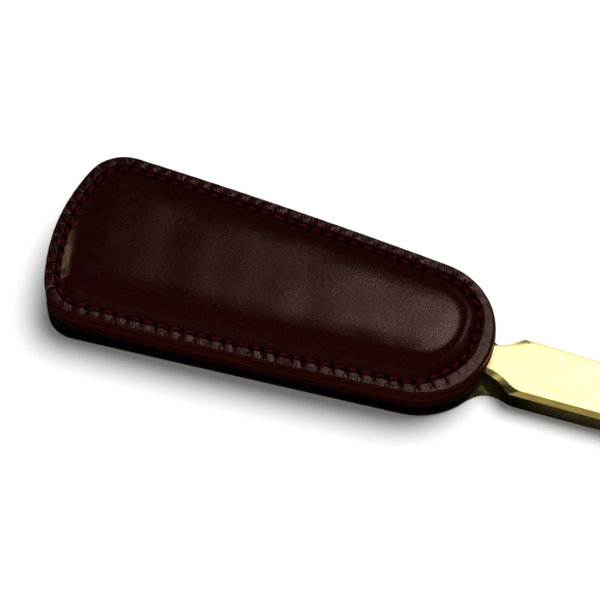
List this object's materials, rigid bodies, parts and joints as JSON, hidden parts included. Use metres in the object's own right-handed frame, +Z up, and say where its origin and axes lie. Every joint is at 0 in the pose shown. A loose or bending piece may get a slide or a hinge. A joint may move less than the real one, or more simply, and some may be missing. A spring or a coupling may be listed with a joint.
{
  "type": "long shoehorn",
  "caption": "Long brass shoehorn: padded stitched leather handle on a flat brass bar with a waisted neck, chamfered stem and riveted spoon-shaped horn.",
  "frame": {"origin": "centre of the handle's flat underside, on the rest plane", "axes": "+X from the handle's butt along the bar to the horn, +Y across the handle, +Z up through the padded leather"},
  "size_m": [0.4562, 0.0438, 0.0146],
  "materials": {
    "brass_brushed": "solid brass, brushed lengthwise on the flats, darker on the side walls",
    "brass_sheet": "formed brass sheet, fine satin brushing",
    "brass_rivet": "polished brass",
    "leather_face": "dark burgundy calf, fine grain, semi-gloss",
    "leather_edge": "dark burgundy leather, painted and burnished edge",
    "felt_core": "pressed wool felt",
    "board": "bonded leatherboard",
    "adhesive": "cured contact adhesive",
    "thread": "waxed polyester thread, dark red"
  },
  "bodies": {
    "root": {"brass_bar": "brass_brushed", "horn_blade": "brass_sheet", "horn_rivets": "brass_rivet", "face_leather": "leather_face", "backing_leather": "leather_edge", "pad_core": "felt_core", "stiffener_board": "board", "bond_film": "adhesive", "needle_thread": "thread", "bobbin_thread": "thread"}
  },
  "joints": []
}
